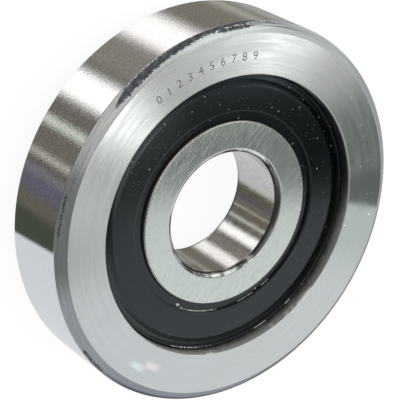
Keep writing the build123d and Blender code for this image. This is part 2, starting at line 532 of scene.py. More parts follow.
def carried_round(name, section, steps, edges=(), size=0.0, seed=0):
    """A section carried once round the axis as a surface that is closed both ways.

    Point (i, j) is the section's point j at angle i: radius times cosine, radius times sine, height.
    Edges that are given get a chatter, a grid of small moves along the normals. The new normal is
    the old one less the slope of the moves along the section and round the axis.
    """
    points, normals = rounded(section)
    angles = np.arange(steps) * 2 * math.pi / steps
    cos, sin = np.cos(angles)[:, None], np.sin(angles)[:, None]
    move = chatter(points, steps, edges, size, seed) if edges else np.zeros((steps, len(points)))
    radius = points[:, 0] + move * normals[:, 0]
    height = points[:, 1] + move * normals[:, 1]
    spacing = np.linalg.norm(np.roll(points, -1, axis=0) - np.roll(points, 1, axis=0), axis=1)
    slope_along = (np.roll(move, -1, axis=1) - np.roll(move, 1, axis=1)) / spacing
    slope_round = (np.roll(move, -1, axis=0) - np.roll(move, 1, axis=0)) / (4 * math.pi * radius / steps)
    out_radial = normals[:, 0] + slope_along * normals[:, 1]
    out_height = normals[:, 1] - slope_along * normals[:, 0]
    out_x = out_radial * cos + slope_round * sin
    out_y = out_radial * sin - slope_round * cos
    out = np.stack([out_x, out_y, out_height], -1)
    out /= np.linalg.norm(out, axis=-1, keepdims=True)
    grid = np.stack([radius * cos, radius * sin, height], -1)
    index = np.arange(grid.shape[0] * grid.shape[1]).reshape(grid.shape[:2])
    after = np.roll(index, -1, axis=0)
    quads = np.stack([index, after, np.roll(after, -1, axis=1), np.roll(index, -1, axis=1)], -1)
    piece = built(name, grid.reshape(-1, 3), quads.reshape(-1, 4).tolist(), smooth=True)
    piece.data.normals_split_custom_set_from_vertices(out.reshape(-1, 3).tolist())
    return piece


CHATTER_REACH = 0.5


def chatter(points, steps, edges, size, seed):
    """A wobble that lives only on some edges of a section, and changes at every step of the turn.

    Each edge is a radius and a height. The wobble of a point is a random number for its step times
    the size, and fades with the point's distance from the edge, to nothing at the chatter's reach.
    """
    draw = np.random.default_rng(seed)
    distance = np.min([np.hypot(points[:, 0] - r, points[:, 1] - h) for r, h in edges], axis=0)
    weight = np.clip(1 - distance / CHATTER_REACH, 0, 1)
    noise = draw.uniform(-1, 1, (steps, len(points))) * 0.5 + draw.uniform(-1, 1, (steps, 1))
    return size * noise * weight


print("turned surfaces ready")

# %% [markdown]
# The section of each piece repeats the steps of its solid. The outer ring has a shallow recess at
# each face, a narrow groove that the seal snaps into, and the ball groove between them. The inner
# ring is the same in small, with a lower land at each side for the seal's lip.

# %% Sections of the two rings
CHAMFER_RADIAL, CHAMFER_AXIAL, BACK_BEVEL = 3.25, 2.45, 6.0
EDGE, FINE_EDGE = 0.35, 0.08
RECESS_RADIUS, MOUTH_RADIUS, SEAT_RADIUS = 46.0475, 46.3475, 46.7975
OUTER_SHOULDER, LAND_RADIUS = 42.7975, 30.4025
SEAT_HEIGHT, NOTCH_HEIGHT, LAND_HEIGHT = 8.8975, 10.4475, 8.4475
BORE_CORNER, LAND_CORNER = 1.8, 0.35
GROOVE_RADIUS, GROOVE_DEPTH, GROOVE_PIECES = 8.255, 3.0, 14


def up(height):
    """A height above the balls' plane."""
    return BALL_PLANE + height


def down(height):
    """The same height below the balls' plane."""
    return BALL_PLANE - height


def ball_groove(shoulder, outward):
    """The corners along the ball groove, an arc about a centre that is cut into a shoulder."""
    middle = shoulder + outward * (GROOVE_DEPTH - GROOVE_RADIUS)
    half = math.acos((GROOVE_RADIUS - GROOVE_DEPTH) / GROOVE_RADIUS)
    angles = outward * np.linspace(half, -half, GROOVE_PIECES + 1)
    radii = middle + outward * GROOVE_RADIUS * np.cos(angles)
    heights = BALL_PLANE + GROOVE_RADIUS * np.sin(angles)
    return [(radius, height, 0.0) for radius, height in zip(radii, heights)]


def seal_seat(level):
    """The corners of the narrow groove that a seal snaps into, above or below the balls' plane."""
    notch, seat = level(NOTCH_HEIGHT), level(SEAT_HEIGHT)
    return [(RECESS_RADIUS, notch, FINE_EDGE), (SEAT_RADIUS, notch, FINE_EDGE),
            (SEAT_RADIUS, seat, FINE_EDGE), (OUTER_SHOULDER, seat, FINE_EDGE)]


FACE_EDGE, TREAD_EDGE = TREAD_RADIUS - CHAMFER_RADIAL, FRONT - CHAMFER_AXIAL
OUTER_SECTION = [
    (MOUTH_RADIUS, BACK, EDGE), (TREAD_RADIUS - BACK_BEVEL, BACK, EDGE),
    (TREAD_RADIUS, BACK + BACK_BEVEL, EDGE), (TREAD_RADIUS, TREAD_EDGE - 1, 0),
    (TREAD_RADIUS, TREAD_EDGE, EDGE), (FACE_EDGE, FRONT, EDGE),
    (FACE_EDGE - 1, FRONT, 0), (MOUTH_RADIUS + 1, FRONT, 0), (MOUTH_RADIUS, FRONT, EDGE),
    *seal_seat(up), *ball_groove(OUTER_SHOULDER, 1), *reversed(seal_seat(down)),
]
LAND_FACE = LAND_RADIUS - LAND_CORNER
INNER_SECTION = [
    (BORE_RADIUS, INNER_BACK, BORE_CORNER), (LAND_FACE, INNER_BACK, FINE_EDGE),
    (LAND_RADIUS, INNER_BACK + LAND_CORNER, FINE_EDGE), (LAND_RADIUS, down(LAND_HEIGHT), FINE_EDGE),
    (INNER_SHOULDER, down(LAND_HEIGHT), FINE_EDGE),
    *ball_groove(INNER_SHOULDER, -1),
    (INNER_SHOULDER, up(LAND_HEIGHT), FINE_EDGE), (LAND_RADIUS, up(LAND_HEIGHT), FINE_EDGE),
    (LAND_RADIUS, INNER_FRONT - LAND_CORNER, FINE_EDGE), (LAND_FACE, INNER_FRONT, FINE_EDGE),
    (LAND_FACE - 0.8, INNER_FRONT, 0),
    (BORE_RADIUS, INNER_FRONT, BORE_CORNER),
]
OUTER_STEPS, INNER_STEPS = 720, 540
# How large the chatter of the edges is, and the seed of its draws
OUTER_CHATTER, INNER_CHATTER = (0.006, 11), (0.016, 12)
outer_edges = [(MOUTH_RADIUS, FRONT), (FACE_EDGE, FRONT), (TREAD_RADIUS, TREAD_EDGE)]
inner_edges = [(LAND_FACE, INNER_FRONT), (LAND_RADIUS, INNER_FRONT - LAND_CORNER),
               (BORE_RADIUS + 0.55, INNER_FRONT - 0.55)]
outer_ring = carried_round("outer_ring_turned", OUTER_SECTION, OUTER_STEPS, outer_edges, *OUTER_CHATTER)
inner_ring = carried_round("inner_ring_turned", INNER_SECTION, INNER_STEPS, inner_edges, *INNER_CHATTER)
for piece in (outer_ring, inner_ring):
    print(piece.name, "faces", len(piece.data.polygons))

# %% [markdown]
# A seal is one moulding in black rubber: a lip that drops beside the inner ring, a flat face over
# the balls, a channel, and a bead and rim that snap into the outer ring. The rear one is the same
# moulding turned over.

# %% Sections of the seals
LIP_INSIDE, LIP_OUTSIDE = 30.5025, 33.3025
LIP_TOP, LIP_UNDER = 10.1475, 8.8475
FACE_HEIGHT, WEB_UNDER = 11.3975, 9.7975
FACE_OUTSIDE, CHANNEL_INSIDE, CHANNEL_OUTSIDE = 42.5675, 43.0675, 45.0675
CHANNEL_FLOOR, BEAD_TOP, BEAD_OUTSIDE = 10.4475, 11.15, 45.9675
RIM_TOP, RIM_INSIDE = 10.3475, 45.3975
LIP_ROUND, FACE_ROUND, SEAL_ROUND, SMALL_ROUND = 0.8, 3.0, 0.4, 0.1
SEAL_STEPS = 540


def seal_section(side):
    """The seal's corners at one side of the balls: side is 1 at the front and -1 at the back."""
    shape = [
        (LIP_INSIDE, LIP_TOP, SMALL_ROUND), (LIP_OUTSIDE, LIP_TOP, SMALL_ROUND),
        (LIP_OUTSIDE, FACE_HEIGHT, LIP_ROUND), (FACE_OUTSIDE - 0.5, FACE_HEIGHT, FACE_ROUND),
        (CHANNEL_INSIDE + 0.7, CHANNEL_FLOOR + 0.15, 0.6), (CHANNEL_OUTSIDE, CHANNEL_FLOOR, SMALL_ROUND),
        (CHANNEL_OUTSIDE, BEAD_TOP, SEAL_ROUND), (BEAD_OUTSIDE, BEAD_TOP, SEAL_ROUND),
        (BEAD_OUTSIDE, RIM_TOP, SMALL_ROUND), (SEAL_RIM, RIM_TOP, SMALL_ROUND),
        (SEAL_RIM, SEAT_HEIGHT, SMALL_ROUND), (RIM_INSIDE, SEAT_HEIGHT, SMALL_ROUND),
        (FACE_OUTSIDE, SEAT_HEIGHT, SMALL_ROUND), (FACE_OUTSIDE - 0.9, WEB_UNDER, SMALL_ROUND),
        (LIP_OUTSIDE + 1.3, WEB_UNDER, SMALL_ROUND), (LIP_OUTSIDE, LIP_UNDER, SMALL_ROUND),
        (LIP_INSIDE + 0.65, LIP_UNDER, SMALL_ROUND),
    ]
    return [(radius, BALL_PLANE + side * height, edge) for radius, height, edge in shape]


seal_front = carried_round("seal_front_moulded", seal_section(1), SEAL_STEPS)
seal_rear = carried_round("seal_rear_moulded", seal_section(-1), SEAL_STEPS)
for piece in (seal_front, seal_rear):
    print(piece.name, "faces", len(piece.data.polygons))

# %% [markdown]
# Tool marks, grain and dust come back on several pieces, so each is one group. Fine lines are noise
# that is squeezed across the lines and long beside them. Specks are the middles of a few cells of
# a Voronoi pattern, and a share says how many of the cells hold one.

# %% Groups for tool marks, grain and specks
NOISE_LOW, NOISE_HIGH = 0.3, 0.7


def in_mm(tree):
    """The piece's own coordinates in millimetres."""
    where = add(tree, "TexCoord").outputs["Object"]
    return add(tree, "VectorMath", {"operation": "SCALE"}, Vector=where, Scale=1 / MM).outputs[0]


def spread_noise(tree, vector, scale, detail, roughness):
    """Noise over a vector, spread so that it fills the range from zero to one."""
    noise = add(tree, "TexNoise", Vector=vector, Scale=scale, Detail=detail, Roughness=roughness)
    return between(noise.outputs[0], NOISE_LOW, NOISE_HIGH, kind="LINEAR")


def tool_lines_group():
    """Lines left by a tool: noise over the distance across them, which drifts slowly along them."""
    inputs = {"Across": 0.0, "Fineness": 2.0, "Drift": 0.05}
    tree, given, ends = new_group("tool_lines", inputs, ["Lines"])
    parts = add(tree, "SeparateXYZ", Vector=in_mm(tree)).outputs
    across = times(given["Across"], given["Fineness"])
    drift = [times(parts[i], given["Drift"]) for i in (0, 1)]
    vector = add(tree, "CombineXYZ", X=across, Y=drift[0], Z=drift[1]).outputs[0]
    give(ends["Lines"], spread_noise(tree, vector, 1.0, 3.0, 0.6))
    return tree


def grain_group():
    """Even mottling: noise whose cells are about one over the fineness wide, in millimetres."""
    tree, given, ends = new_group("grain", {"Fineness": 1.0}, ["Grain"])
    give(ends["Grain"], spread_noise(tree, in_mm(tree), given["Fineness"], 3.0, 0.65))
    return tree


def specks_group():
    """Sparse dots: a dot sits in the middle of a share of the cells, and its size is in cells."""
    inputs = {"Fineness": 1.0, "Size": 0.2, "Share": 0.3}
    tree, given, ends = new_group("specks", inputs, ["Mask"])
    cells = add(tree, "TexVoronoi", Vector=in_mm(tree), Scale=given["Fineness"]).outputs
    core = times(given["Size"], 0.5)
    dot = between(cells["Distance"], core, given["Size"], 1.0, 0.0)
    lot = add(tree, "SeparateColor", Color=cells["Color"]).outputs[0]
    give(ends["Mask"], times(dot, calc("LESS_THAN", lot, given["Share"])))
    return tree


TOOL_LINES = tool_lines_group()
GRAIN = grain_group()
SPECKS = specks_group()
print("groups", sorted(group.name for group in bpy.data.node_groups))

# %% [markdown]
# Every material ends with a colour, a gloss and a bump. The depth of a bump is in millimetres: a few
# thousandths are enough to make a mirror-like surface look worked. Wear is never even round a used
# part, and some stretches carry painted shade and one carries painted light instead, so the
# stretches that differ are named by where they lie.

# %% Ending a material, and where it changes
# Stretches round the roller: middle azimuth, half the width and the soft edge, in degrees
CALM_TREAD = (62.0, 30.0, 12.0)
CALM_FACE = (115.0, 62.0, 30.0)
# Where the face has painted shade, and where its nicks lie
SHADED_NICKED_FACE = (-140.0, 22.0, 22.0)
SLEEK_FACE = (-157.0, 12.0, 12.0)
# Where the chamfer has painted shade
SHADED_CHAMFER = (140.0, 45.0, 28.0)
DARK_RECESS_STRETCH = (-122.0, 15.0, 26.0)
BROWNED_BORE = (-158.0, 9.0, 10.0)
OILED_CORNER = (-152.0, 32.0, 16.0)
DULL_SEAL = (-84.0, 34.0, 38.0)
DUSTY_SEAL = (-85.0, 85.0, 25.0)
LIT_SEAL_SIDE = (100.0, 52.0, 24.0)


def tint(shader, colour):
    """Gives the shader its colour."""
    give(shader.inputs["Base Color"], colour)


def roughen(shader, value):
    """Gives the shader its roughness."""
    give(shader.inputs["Roughness"], value)


def press(shader, height, depth):
    """Gives the shader a bump of a depth in millimetres."""
    bump = add(shader.id_data, "Bump", Height=height, Distance=depth * MM, Strength=1.0)
    give(shader.inputs["Normal"], bump.outputs[0])


def stretch(place, centre, half, edge):
    """One in a stretch round the roller and zero outside it."""
    azimuth = place["Azimuth"]
    return use(azimuth.id_data, WINDOW, Azimuth=azimuth, Centre=centre, Half_width=half, Edge=edge)


def away_from(value, middle):
    """How far a value is from a middle, either way."""
    return calc("ABSOLUTE", calc("SUBTRACT", value, middle))


def near(value, middle, inside, outside):
    """One where a value is near a middle, zero where it is farther than outside."""
    return between(away_from(value, middle), inside, outside, 1.0, 0.0)


# %% [markdown]
# The tread is ground between centres and then run in, so it mirrors like a barrel of dull chrome.
# Its grinding lines run round it, and tiny dents from rolling mottle the edges of each reflection.

# %% Ground tread
TREAD_DULL, TREAD_BRIGHT = (0.53, 0.52, 0.505, 1), (0.94, 0.93, 0.92, 1)
TREAD_LINE, TREAD_PALE, TREAD_NICK = (0.66, 0.66, 0.65, 1), (0.80, 0.81, 0.82, 1), (0.96, 0.96, 0.93, 1)
TREAD_DENTS = 0.007


def ground_tread():
    """Steel whose lines run round the roller, with fine dents and a few pale nicks."""
    material, tree, shader = new_material("ground_tread", Metallic=1.0)
    place = use(tree, POLAR)
    calm = stretch(place, *CALM_TREAD)
    grain = use(tree, GRAIN, Fineness=1.7)
    lines = use(tree, TOOL_LINES, Across=place["Height"], Fineness=1.6, Drift=0.02)
    nicks = use(tree, SPECKS, Fineness=0.8, Size=0.24, Share=0.4)
    colour = blend(grain, TREAD_DULL, TREAD_BRIGHT)
    colour = blend(fade(lines, 0.0, 0.3), colour, TREAD_LINE)
    colour = blend(times(calm, 0.75), colour, TREAD_PALE)
    tint(shader, blend(times(nicks, fade(calm, 1.0, 0.2)), colour, TREAD_NICK))
    rough = fade(grain, 0.05, 0.10)
    roughen(shader, times(rough, fade(calm, 1.0, 0.5)))
    dents = calc("ADD", grain, times(lines, 0.2))
    press(shader, times(dents, fade(calm, 1.0, 0.25)), TREAD_DENTS)
    return material


# %% [markdown]
# The wide face is turned on a lathe. Its lines run round the axis, so a reflection is smeared
# towards and away from the axis and breaks into fans. The shader's anisotropy does that: the
# tangent runs round the axis, and a quarter turn lays the long side of the gloss across the lines.
# At the right the face is sleek, and there the edge of the nearest card stays sharp. At the upper
# right it has painted shade and a few nicks, and near the bottom two small painted highlights.

# %% Turned face
FACE_LOW, FACE_HIGH = (0.675, 0.685, 0.68, 1), (0.75, 0.76, 0.755, 1)
FACE_BROAD, FACE_PLAIN = (0.65, 0.675, 0.665, 1), (0.69, 0.705, 0.70, 1)
FACE_PAINTED_SHADE, FACE_NICK = (0.46, 0.53, 0.48, 1), (0.95, 0.97, 0.96, 1)
FACE_LINES = 0.0016
# Two small painted highlights near the bottom of the face, a cyan one and a pink one
HIGHLIGHT_HALF, HIGHLIGHT_EDGE, HIGHLIGHT_SHARE = 1.2, 3.2, 0.85
FACE_PAINTED_HIGHLIGHTS = [
    # azimuth, radius, colour
    (87.5, 54.8, (0.88, 1.0, 0.98, 1)),
    (93.0, 52.8, (1.0, 0.93, 0.94, 1)),
]


def turned_face():
    """Steel with fine turning lines, gloss smeared across them, some nicks and painted shade at one
    side, and two small painted highlights near the bottom.
    """
    material, tree, shader = new_material("turned_face", Metallic=1.0, Anisotropic=0.72,
                                          Anisotropic_Rotation=0.25)
    place = use(tree, POLAR)
    round_axis = add(tree, "Tangent", {"direction_type": "RADIAL", "axis": "Z"}).outputs[0]
    give(shader.inputs["Tangent"], round_axis)
    calm, shaded_and_nicked, sleek = [stretch(place, *part) for part in (CALM_FACE, SHADED_NICKED_FACE, SLEEK_FACE)]
    fine = use(tree, TOOL_LINES, Across=place["Radius"], Fineness=2.2, Drift=0.02)
    broad = use(tree, TOOL_LINES, Across=place["Radius"], Fineness=0.55, Drift=0.06)
    grain = use(tree, GRAIN, Fineness=1.1)
    nicks = use(tree, SPECKS, Fineness=0.36, Size=0.18, Share=0.45)
    colour = blend(fine, FACE_LOW, FACE_HIGH)
    colour = blend(fade(broad, 0.0, 0.4), colour, FACE_BROAD)
    colour = blend(times(calm, 0.6), colour, FACE_PLAIN)
    # Painted shade over the upper right of the face
    colour = blend(times(shaded_and_nicked, 0.62), colour, FACE_PAINTED_SHADE)
    # The painted highlights: small pale patches in a cyan and a pink tint
    for azimuth, radius, highlight_colour in FACE_PAINTED_HIGHLIGHTS:
        beside = stretch(place, azimuth, HIGHLIGHT_HALF, HIGHLIGHT_EDGE)
        highlight_patch = times(beside, near(place["Radius"], radius, 0.3, 1.8))
        colour = blend(times(highlight_patch, HIGHLIGHT_SHARE), colour, highlight_colour)
    tint(shader, blend(times(nicks, shaded_and_nicked), colour, FACE_NICK))
    rough = fade(broad, 0.19, 0.27)
    roughen(shader, times(rough, fade(sleek, 1.0, 0.4)))
    marks = calc("ADD", fine, times(grain, 0.12))
    smooth = calc("MAXIMUM", calm, sleek)
    press(shader, times(marks, fade(smooth, 1.0, 0.4)), FACE_LINES)
    return material


# %% [markdown]
# The broken corner between face and tread keeps what grinding and handling leave: a ragged dark
# stain of burnt oil with a pale fringe that is a painted highlight, and a few small dark marks. A
# wide stretch at the lower right has painted shade, with a painted dark line at its outer edge. A
# stain is a window round the axis times a band across the corner, and noise frays both.

# %% Chamfer with its stain
CHAMFER_LOW, CHAMFER_HIGH = (0.60, 0.62, 0.62, 1), (0.76, 0.78, 0.78, 1)
CHAMFER_PAINTED_SHADE, CHAMFER_PAINTED_DARK_RIM = (0.43, 0.43, 0.50, 1), (0.13, 0.125, 0.20, 1)
FRINGE_PAINTED_HIGHLIGHT = (0.90, 0.96, 0.91, 1)
SOOT_DARK, SOOT_GREY = (0.016, 0.016, 0.032, 1), (0.085, 0.083, 0.12, 1)
MAIN_STAIN = (-35.5, 20.0, 7.0)
FRINGE_HIGHLIGHT_STRETCH = (-34.0, 24.0, 14.0)
SMUDGE = (-66.0, 2.0, 18.0)
# The main stain's radius and half band, and how much each changes with every degree of azimuth
STAIN_RADIUS, STAIN_SLANT = 61.05, -0.026
STAIN_BAND, STAIN_TAPER = 1.33, 0.013
FRINGE_RADIUS, FRINGE_BAND = 61.2, 1.3
SMUDGE_RADIUS, SMUDGE_BAND = 61.7, 0.9
RIM_START, RIM_END, RIM_SHARE = 61.5, 62.1, 0.85
FRAYED_FROM, FRAYED_TO = -0.1, 0.14
SMALL_STAINS = [
    # middle azimuth, half the width, radius, half the band
    (-13.0, 2.0, 61.0, 0.4), (-53.0, 4.0, 61.4, 0.6), (14.5, 1.6, 61.4, 0.2),
    (73.5, 4.0, 62.1, 0.45), (24.0, 5.0, 61.9, 0.4),
]
SMALL_EDGE = 2.5


def stain(place, frayed, part, radius, half_band):
    """A frayed mark: a stretch round the axis times a band across the corner."""
    reach = times(stretch(place, *part), calc("ADD", half_band, frayed))
    inside = calc("SUBTRACT", reach, away_from(place["Radius"], radius))
    return between(inside, FRAYED_FROM, FRAYED_TO)


def chamfer_steel():
    """Turned steel with a dark stain at the left and smaller marks further down, a painted highlight
    along the stain's pale edge, and painted shade with a painted dark line at the lower right.
    """
    material, tree, shader = new_material("chamfer_steel")
    place = use(tree, POLAR)
    grain = use(tree, GRAIN, Fineness=1.6)
    rough = use(tree, GRAIN, Fineness=0.5)
    lines = use(tree, TOOL_LINES, Across=place["Radius"], Fineness=2.0, Drift=0.05)
    frayed = times(calc("SUBTRACT", grain, 0.6), 0.9)
    colour = blend(lines, CHAMFER_LOW, CHAMFER_HIGH)
    # Painted shade over a wide stretch at the lower right, and a painted dark line along its outer edge
    shaded_stretch = stretch(place, *SHADED_CHAMFER)
    colour = blend(times(shaded_stretch, 0.4), colour, CHAMFER_PAINTED_SHADE)
    dark_rim = times(shaded_stretch, between(place["Radius"], RIM_START, RIM_END, 0.0, RIM_SHARE))
    colour = blend(dark_rim, colour, CHAMFER_PAINTED_DARK_RIM)
    # The pale fringe along the stain is a painted highlight
    highlight_fringe = stain(place, frayed, FRINGE_HIGHLIGHT_STRETCH, FRINGE_RADIUS, FRINGE_BAND)
    colour = blend(times(highlight_fringe, 0.6), colour, FRINGE_PAINTED_HIGHLIGHT)
    path = calc("MULTIPLY_ADD", place["Azimuth"], STAIN_SLANT, STAIN_RADIUS)
    band = calc("MULTIPLY_ADD", place["Azimuth"], STAIN_TAPER, STAIN_BAND)
    dark = stain(place, frayed, MAIN_STAIN, path, band)
    for azimuth, half, radius, half_band in SMALL_STAINS:
        mark = stain(place, frayed, (azimuth, half, SMALL_EDGE), radius, half_band)
        dark = calc("MAXIMUM", dark, mark)
    smudge = stain(place, frayed, SMUDGE, SMUDGE_RADIUS, SMUDGE_BAND)
    smudge = times(smudge, between(lines, 0.2, 0.75, 1.0, 0.2))
    dark = calc("MAXIMUM", dark, times(smudge, 0.7))
    dark = times(dark, calc("GREATER_THAN", place["Height"], 0.0))
    dark = times(dark, fade(rough, 0.82, 1.0))
    tint(shader, blend(dark, colour, blend(grain, SOOT_DARK, SOOT_GREY)))
    give(shader.inputs["Metallic"], fade(dark, 1.0, 0.35))
    roughen(shader, fade(dark, 0.2, 0.5))
    press(shader, calc("ADD", grain, lines), 0.003)
    return material


# %% [markdown]
# Inside the recess the steel is only rough turned and never touches anything. It is duller and a
# little darker, with coarse lines, darker still towards the bottom and over one stretch at the upper
# right, and a few painted glints lie near the mouth.

# %% Recess steel
RECESS_LOW, RECESS_HIGH = (0.60, 0.62, 0.60, 1), (0.84, 0.86, 0.84, 1)
DARKER_LOW_COLOUR, DARK_STRETCH_COLOUR, GLINT_COLOUR = (0.10, 0.105, 0.098, 1), (0.02, 0.021, 0.026, 1), (0.98, 1.0, 0.97, 1)
# Where painted glints sit in the recess, just below its mouth
PAINTED_GLINT_PLACES = [
    # middle azimuth, half the width
    (164.5, 4.5), (157.3, 0.8), (118.0, 1.4), (149.5, 0.6),
]


def recess_steel():
    """Dull turned steel with coarse lines along its height, darker towards the bottom and over one
    stretch, with a few painted glints near the mouth.
    """
    material, tree, shader = new_material("recess_steel", Metallic=0.25)
    place = use(tree, POLAR)
    lines = use(tree, TOOL_LINES, Across=place["Height"], Fineness=3.0, Drift=0.08)
    patches = use(tree, GRAIN, Fineness=0.35)
    depth = calc("SUBTRACT", FRONT, calc("ABSOLUTE", place["Height"]))
    # Darker towards the bottom of the recess
    darkening = between(calc("ADD", depth, times(patches, 0.8)), 0.8, 4.6)
    # Darker over one stretch at the upper right, from about a millimetre below the mouth down
    dark_stretch = times(stretch(place, *DARK_RECESS_STRETCH), between(depth, 0.3, 1.2, 0.0, 0.95))
    colour = blend(lines, RECESS_LOW, RECESS_HIGH)
    colour = blend(darkening, colour, DARKER_LOW_COLOUR)
    colour = blend(dark_stretch, colour, DARK_STRETCH_COLOUR)
    # Painted glints in patches within about two millimetres of the mouth, at a few places round it
    glint_patches = between(patches, 0.2, 0.4)
    glint_band = times(between(depth, 1.5, 2.3, 1.0, 0.0), glint_patches)
    for azimuth, half in PAINTED_GLINT_PLACES:
        glint_spot = times(stretch(place, azimuth, half, 1.0), glint_band)
        colour = blend(glint_spot, colour, GLINT_COLOUR)
    tint(shader, colour)
    roughen(shader, fade(lines, 0.30, 0.45))
    press(shader, lines, 0.006)
    return material


# %% [markdown]
# The inner ring is ground on its faces with a cup wheel, which leaves straight fine scratches that
# cross the ring aslant. Its bore is honed: bright, with scratches that run aslant too.

# %% Inner ring's steel
SCRATCH_TURN = (0.5, 0.3, math.radians(38))
BROWN_STEEL, SPECK_STEEL = (0.63, 0.61, 0.46, 1), (0.92, 0.94, 0.92, 1)


def scratched_steel(name, colours, gloss, stretched, depth, browned=0.0):
    """Ground steel with straight scratches: noise stretched along one slanted way.

    It has two colours and two roughnesses, between and on the scratches. Browned says how much a
    stretch at the far side is coloured by old oil.
    """
    material, tree, shader = new_material(name, Metallic=1.0)
    where = add(tree, "Mapping", Vector=in_mm(tree), Rotation=SCRATCH_TURN, Scale=stretched).outputs[0]
    scratches = spread_noise(tree, where, 1.0, 4.0, 0.65)
    grain = use(tree, GRAIN, Fineness=1.5)
    specks = use(tree, SPECKS, Fineness=0.75, Size=0.15, Share=0.2)
    brown = times(stretch(use(tree, POLAR), *BROWNED_BORE), browned)
    colour = blend(brown, blend(scratches, *colours), BROWN_STEEL)
    tint(shader, blend(specks, colour, SPECK_STEEL))
    roughen(shader, fade(scratches, *gloss))
    press(shader, calc("ADD", scratches, grain), depth)
    return material


# %% [markdown]
# The rounded corner at the mouth of the bore is where rings are gripped and knocked. Oil and dirt
# darken it in streaks that run round it, and the bare steel between them glints. At the right it is
# evenly oiled.

# %% Corner of the bore
STREAK_DARK, STREAK_BRIGHT = (0.13, 0.13, 0.125, 1), (0.86, 0.87, 0.84, 1)
EVEN_OIL = (0.16, 0.17, 0.16, 1)


def corner_steel():
    """Dark and bright streaks round the corner, and a wavy surface that breaks reflections."""
    material, tree, shader = new_material("corner_steel", Metallic=1.0, Roughness=0.16)
    place = use(tree, POLAR)
    across = calc("SUBTRACT", place["Height"], place["Radius"])
    lines = use(tree, TOOL_LINES, Across=across, Fineness=1.3, Drift=0.14)
    colour = blend(between(lines, 0.35, 0.8), STREAK_DARK, STREAK_BRIGHT)
    oiled = stretch(place, *OILED_CORNER)
    tint(shader, blend(times(oiled, 0.95), colour, EVEN_OIL))
    press(shader, times(lines, fade(oiled, 1.0, 0.15)), 0.03)
    return material


# %% [markdown]
# The seal is black nitrile rubber, matt but not dull: it still mirrors a bright card faintly. Dust
# settles on it as pale dots and lies in a thin veil here and there. A grey line along the lip's step
# is a painted highlight, and a lighter band near the channel at the bottom is painted light.

# %% Seal rubber
RUBBER_BLACK, RUBBER_VEIL = (0.0003, 0.0005, 0.0006, 1), (0.0034, 0.0036, 0.0030, 1)
STEP_PAINTED_HIGHLIGHT, CHANNEL_PAINTED_LIGHT, DUST = (0.03, 0.033, 0.034, 1), (0.024, 0.026, 0.028, 1), (0.42, 0.45, 0.43, 1)
STEP_RADIUS, LIT_BAND_RADIUS = LIP_OUTSIDE + 0.14, 43.7


def seal_rubber():
    """Black rubber with sparse dust of two sizes and a faint veil.

    A thin oily coat shines on it all round, except where the dust has made it dull. A grey line
    along the lip's step is a painted highlight, and a lighter band near the channel at the bottom is
    painted light.
    """
    material, tree, shader = new_material("seal_rubber", Specular_IOR_Level=0.36, Coat_Roughness=0.17,
                                          Specular_Tint=(0.70, 0.90, 1.0, 1))
    place = use(tree, POLAR)
    dull, dusty, lit_side = [stretch(place, *part) for part in (DULL_SEAL, DUSTY_SEAL, LIT_SEAL_SIDE)]
    give(shader.inputs["Coat Weight"], fade(dull, 0.62, 0.0))
    grain = use(tree, GRAIN, Fineness=2.2)
    veil = between(use(tree, GRAIN, Fineness=0.12), 0.4, 1.0)
    fine = use(tree, SPECKS, Fineness=0.85, Size=0.2, Share=0.42)
    large = use(tree, SPECKS, Fineness=0.36, Size=0.13, Share=0.45)
    dust = calc("MAXIMUM", times(fine, 0.28), times(large, 0.8))
    dust = times(dust, fade(dusty, 0.12, 1.0))
    # A painted highlight: a grey line along the rounded edge of the lip's step
    step = times(near(place["Radius"], STEP_RADIUS, 0.05, 0.2), 0.8)
    # Painted light: a lighter band near the channel at the bottom of the seal
    lit_band = times(lit_side, near(place["Radius"], LIT_BAND_RADIUS, 0.5, 1.2))
    colour = blend(veil, RUBBER_BLACK, RUBBER_VEIL)
    colour = blend(step, colour, STEP_PAINTED_HIGHLIGHT)
    colour = blend(lit_band, colour, CHANNEL_PAINTED_LIGHT)
    tint(shader, blend(dust, colour, DUST))
    roughen(shader, fade(grain, 0.14, 0.2))
    press(shader, grain, 0.0025)
    return material


# %% [markdown]
# The parts inside show only through a gap or when the bearing is opened, but they are finished
# too: balls are polished, and the cage is pressed from strip and tumbled.

# %% Steel of balls and cage


def mottled_steel(name, colours, gloss, fineness, depth):
    """Plain steel with even mottling between two colours and two roughnesses."""
    material, tree, shader = new_material(name, Metallic=1.0)
    grain = use(tree, GRAIN, Fineness=fineness)
    tint(shader, blend(grain, *colours))
    roughen(shader, fade(grain, *gloss))
    press(shader, grain, depth)
    return material


TREAD_STEEL = ground_tread()
FACE_STEEL = turned_face()
CHAMFER_STEEL = chamfer_steel()
RECESS_STEEL = recess_steel()
INNER_FACE_STEEL = scratched_steel(
    "inner_face_steel", colours=((0.59, 0.63, 0.58, 1), (0.80, 0.83, 0.79, 1)),
    gloss=(0.12, 0.2), stretched=(0.25, 3.2, 1.0), depth=0.002)
CORNER_STEEL = corner_steel()
BORE_STEEL = scratched_steel(
    "bore_steel", colours=((0.545, 0.53, 0.51, 1), (0.70, 0.685, 0.67, 1)),
    gloss=(0.09, 0.18), stretched=(0.3, 2.2, 0.5), depth=0.006, browned=0.65)
RUBBER = seal_rubber()
EDGE_STEEL = mottled_steel(
    "bright_edge", colours=((0.42, 0.43, 0.40, 1), (1.0, 0.99, 0.94, 1)),
    gloss=(0.1, 0.3), fineness=2.4, depth=0.02)
BALL_STEEL = mottled_steel(
    "polished_balls", colours=((0.74, 0.74, 0.74, 1), (0.8, 0.8, 0.8, 1)),
    gloss=(0.05, 0.08), fineness=0.4, depth=0.0005)
CAGE_STEEL = mottled_steel(
    "pressed_cage", colours=((0.40, 0.39, 0.37, 1), (0.58, 0.57, 0.55, 1)),
    gloss=(0.28, 0.42), fineness=0.8, depth=0.006)
print("materials", len(bpy.data.materials))

